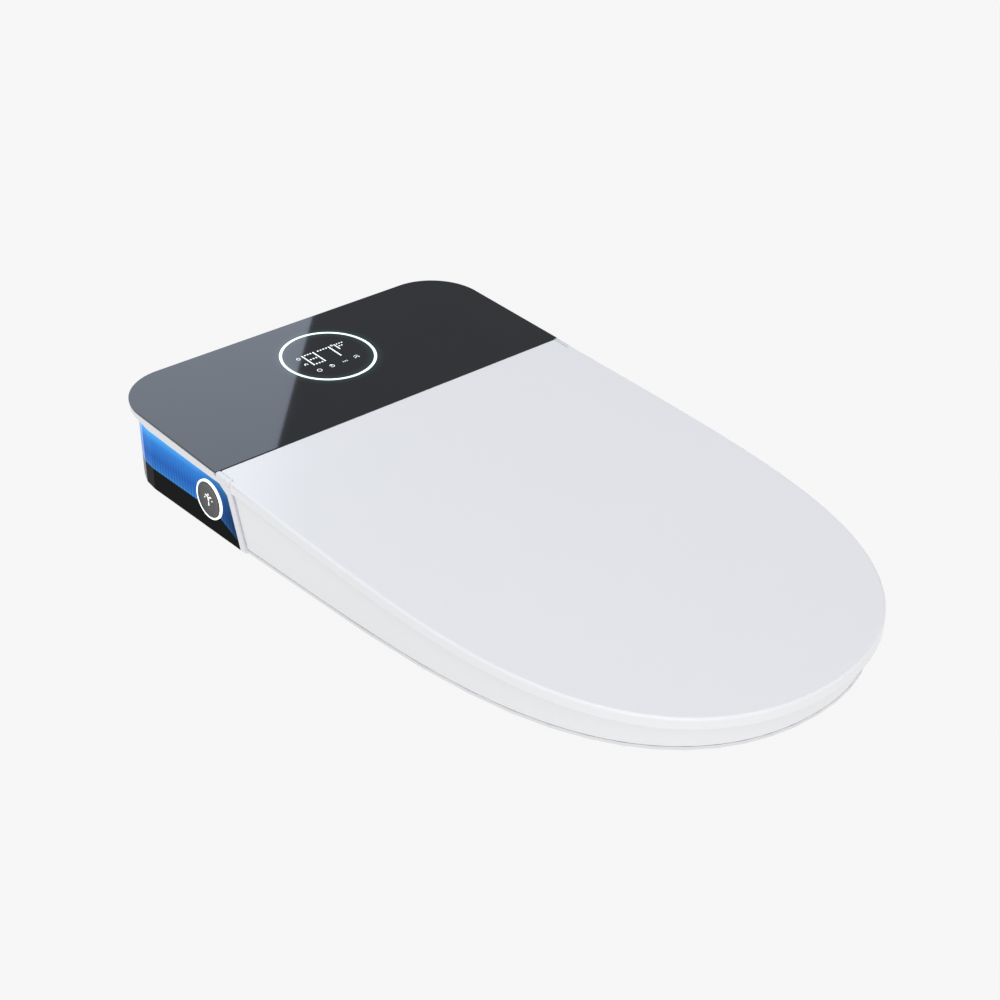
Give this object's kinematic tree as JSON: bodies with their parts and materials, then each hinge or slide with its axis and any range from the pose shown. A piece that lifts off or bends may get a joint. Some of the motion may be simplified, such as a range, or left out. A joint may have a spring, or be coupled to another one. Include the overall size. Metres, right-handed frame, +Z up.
{
  "type": "electric bidet seat",
  "caption": "Low wedge-shaped electric bidet seat: glass-topped wash unit with lit side windows and knob, flush hinged lid, heated seat ring, wash nozzles and dryer.",
  "frame": {"origin": "on the top of the bowl, midway between the two fixing bolts, at the centre of the mounting plate's underside", "axes": "+Z up, -Y towards the front of the seat, +Y towards the wall, the knob on the -X side"},
  "size_m": [0.3538, 0.6165, 0.0688],
  "materials": {
    "white": "glossy injection-moulded white",
    "satin_white": "satin moulded white",
    "black_glass": "polished black tempered glass",
    "window": "clear moulded window",
    "light_panel": "ribbed lit diffuser",
    "white_light": "lit white light guide",
    "black_plastic": "fine-textured black",
    "grey_plastic": "moulded grey",
    "rubber": "soft white rubber",
    "steel": "stainless steel",
    "brass": "machined brass",
    "copper": "varnished copper winding",
    "circuit_board": "green solder mask",
    "foil": "aluminium foil heater",
    "carbon": "black carbon filter cartridge"
  },
  "bodies": {
    "mount": {"mounting_plate": "black_plastic", "bolt_slider_right": "grey_plastic", "bolt_slider_left": "grey_plastic"},
    "seat": {"seat_top_shell": "white", "seat_under_plate": "satin_white", "seat_heater_foil": "foil", "seat_bumper_rear_right": "rubber", "seat_bumper_rear_left": "rubber", "seat_bumper_front_right": "rubber", "seat_bumper_front_left": "rubber", "seat_damper": "grey_plastic"},
    "lid": {"lid": "white", "lid_bumper_right": "rubber", "lid_bumper_left": "rubber"},
    "knob_stem": {"knob_shaft": "steel"},
    "knob": {"knob_dial": "black_plastic"},
    "rear_wand": {"rear_nozzle": "satin_white", "rear_nozzle_shield": "white"},
    "front_wand": {"front_nozzle": "satin_white", "front_nozzle_shield": "white"},
    "rear_pinion_wheel": {"rear_pinion": "satin_white"},
    "front_pinion_wheel": {"front_pinion": "satin_white"},
    "flap": {"dryer_flap": "white"},
    "impeller": {"dryer_impeller": "grey_plastic"},
    "fan": {"deodoriser_fan": "grey_plastic"},
    "filter": {"deodoriser_filter": "carbon"},
    "button": {"release_button": "grey_plastic"},
    "chassis": {"base_pan": "satin_white", "changeover_valve": "grey_plastic", "deodoriser_fan_frame": "black_plastic", "display_board": "circuit_board", "dryer_blower_housing": "black_plastic", "dryer_duct": "black_plastic", "dryer_heater": "copper", "dryer_motor": "steel", "flow_meter": "black_plastic", "front_fascia": "white", "front_stepper": "steel", "glass_top": "black_glass", "hinge_pin_left": "steel", "hinge_pin_right": "steel", "inlet_strainer": "steel", "inlet_valve": "grey_plastic", "knob_encoder": "grey_plastic", "knob_light_ring": "white_light", "lid_damper": "grey_plastic", "light_panel_left": "light_panel", "light_panel_right": "light_panel", "main_board": "circuit_board", "nozzle_cradle": "grey_plastic", "power_inlet_gland": "black_plastic", "power_supply": "black_plastic", "rear_stepper": "steel", "release_guide": "grey_plastic", "side_window_left": "window", "side_window_right": "window", "upper_housing": "white", "valve_solenoid": "copper", "water_heater_tank": "satin_white", "water_inlet": "brass"}
  },
  "joints": [
    {"name": "quick_release_slide", "type": "slide", "parent": "mount", "child": "chassis", "axis": [0, -1, 0], "range_m": [0, 0.05]},
    {"name": "seat_hinge", "type": "hinge", "parent": "chassis", "child": "seat", "pos_m": [0, -0.0377, 0.05225], "axis": [-1, 0, 0], "range_deg": [0, 95]},
    {"name": "lid_hinge", "type": "hinge", "parent": "seat", "child": "lid", "pos_m": [0, -0.0377, 0.05225], "axis": [1, 0, 0], "range_deg": [-100, 0]},
    {"name": "knob_press", "type": "slide", "parent": "chassis", "child": "knob_stem", "axis": [1, 0, 0], "range_m": [0, 0.0015], "stiffness_N_per_m": 600},
    {"name": "knob_turn", "type": "hinge", "parent": "knob_stem", "child": "knob", "pos_m": [-0.175, -0.0188, 0.0312], "axis": [-1, 0, 0], "continuous": true},
    {"name": "rear_nozzle_slide", "type": "slide", "parent": "chassis", "child": "rear_wand", "axis": [0, -0.9781, -0.2079], "range_m": [0, 0.1]},
    {"name": "front_nozzle_slide", "type": "slide", "parent": "chassis", "child": "front_wand", "axis": [0, -0.9781, -0.2079], "range_m": [0, 0.1]},
    {"name": "rear_pinion_turn", "type": "hinge", "parent": "chassis", "child": "rear_pinion_wheel", "pos_m": [-0.0202, -0.00531, 0.02481], "axis": [0, -0.2079, 0.9781], "range_deg": [-960, 960]},
    {"name": "front_pinion_turn", "type": "hinge", "parent": "chassis", "child": "front_pinion_wheel", "pos_m": [0.0202, -0.00531, 0.02481], "axis": [0, -0.2079, 0.9781], "range_deg": [-960, 960]},
    {"name": "dryer_flap_hinge", "type": "hinge", "parent": "chassis", "child": "flap", "pos_m": [-0.066, -0.0575, 0.0202], "axis": [-1, 0, 0], "range_deg": [0, 60]},
    {"name": "dryer_impeller_spin", "type": "hinge", "parent": "chassis", "child": "impeller", "pos_m": [-0.066, 0.004, 0.02], "axis": [0, 0, 1], "continuous": true},
    {"name": "deodoriser_fan_spin", "type": "hinge", "parent": "chassis", "child": "fan", "pos_m": [-0.096, 0.06, 0.026], "axis": [0, 1, 0], "continuous": true},
    {"name": "filter_slide", "type": "slide", "parent": "chassis", "child": "filter", "axis": [0, 1, 0], "range_m": [0, 0.04]},
    {"name": "release_press", "type": "slide", "parent": "chassis", "child": "button", "axis": [0, -1, 0], "range_m": [0, 0.0035], "stiffness_N_per_m": 800}
  ],
  "couplings": [
    {"joint": "rear_pinion_turn", "follows": "rear_nozzle_slide", "rad_per_m": -166.67},
    {"joint": "front_pinion_turn", "follows": "front_nozzle_slide", "rad_per_m": 166.67}
  ]
}
